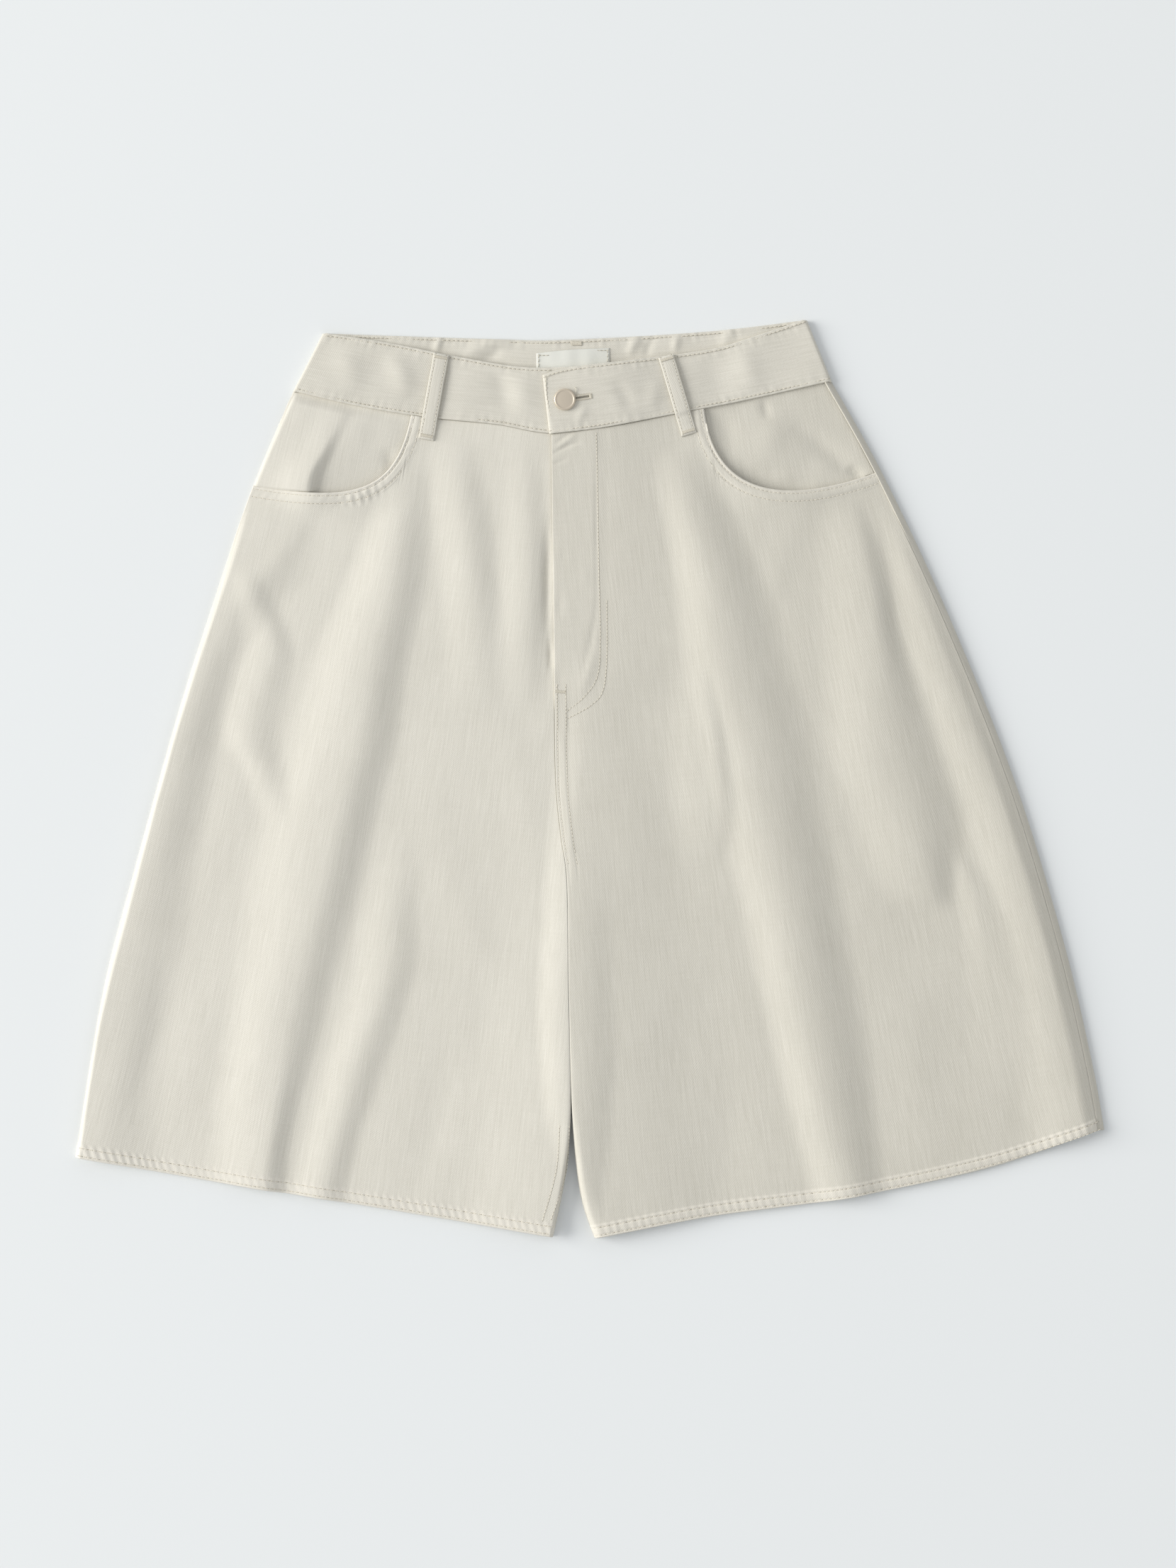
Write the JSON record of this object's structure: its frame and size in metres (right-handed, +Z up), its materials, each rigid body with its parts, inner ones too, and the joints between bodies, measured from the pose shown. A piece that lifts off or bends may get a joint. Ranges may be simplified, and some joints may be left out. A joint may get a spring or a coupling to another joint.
{
  "type": "denim shorts",
  "caption": "Wide-leg denim shorts laid flat, front up, with a buttoned waistband, fly, scoop pockets, belt loops and a bare label inside the waist.",
  "frame": {"origin": "middle of the underside of the garment as it lies on the table", "axes": "+Y from the hems to the waist, +X towards the wearer's left, +Z up from the table"},
  "size_m": [0.7248, 0.6466, 0.0125],
  "materials": {
    "ecru_denim": "undyed ecru cotton twill with slubs, matte",
    "bag_cotton": "plain light cotton, matte",
    "label_satin": "white satin ribbon, slightly glossy",
    "pale_metal": "pale champagne nickel, satin"
  },
  "bodies": {
    "root": {"front_right": "ecru_denim", "front_left": "ecru_denim", "back_right": "ecru_denim", "back_left": "ecru_denim", "waistband": "ecru_denim", "pocket_bearer_right": "ecru_denim", "pocket_bearer_left": "ecru_denim", "pocket_bag_right": "bag_cotton", "pocket_bag_left": "bag_cotton", "fly_shield": "ecru_denim", "belt_loop_right": "ecru_denim", "belt_loop_left": "ecru_denim", "belt_loop_back": "ecru_denim", "label": "label_satin", "button": "pale_metal"}
  },
  "joints": []
}
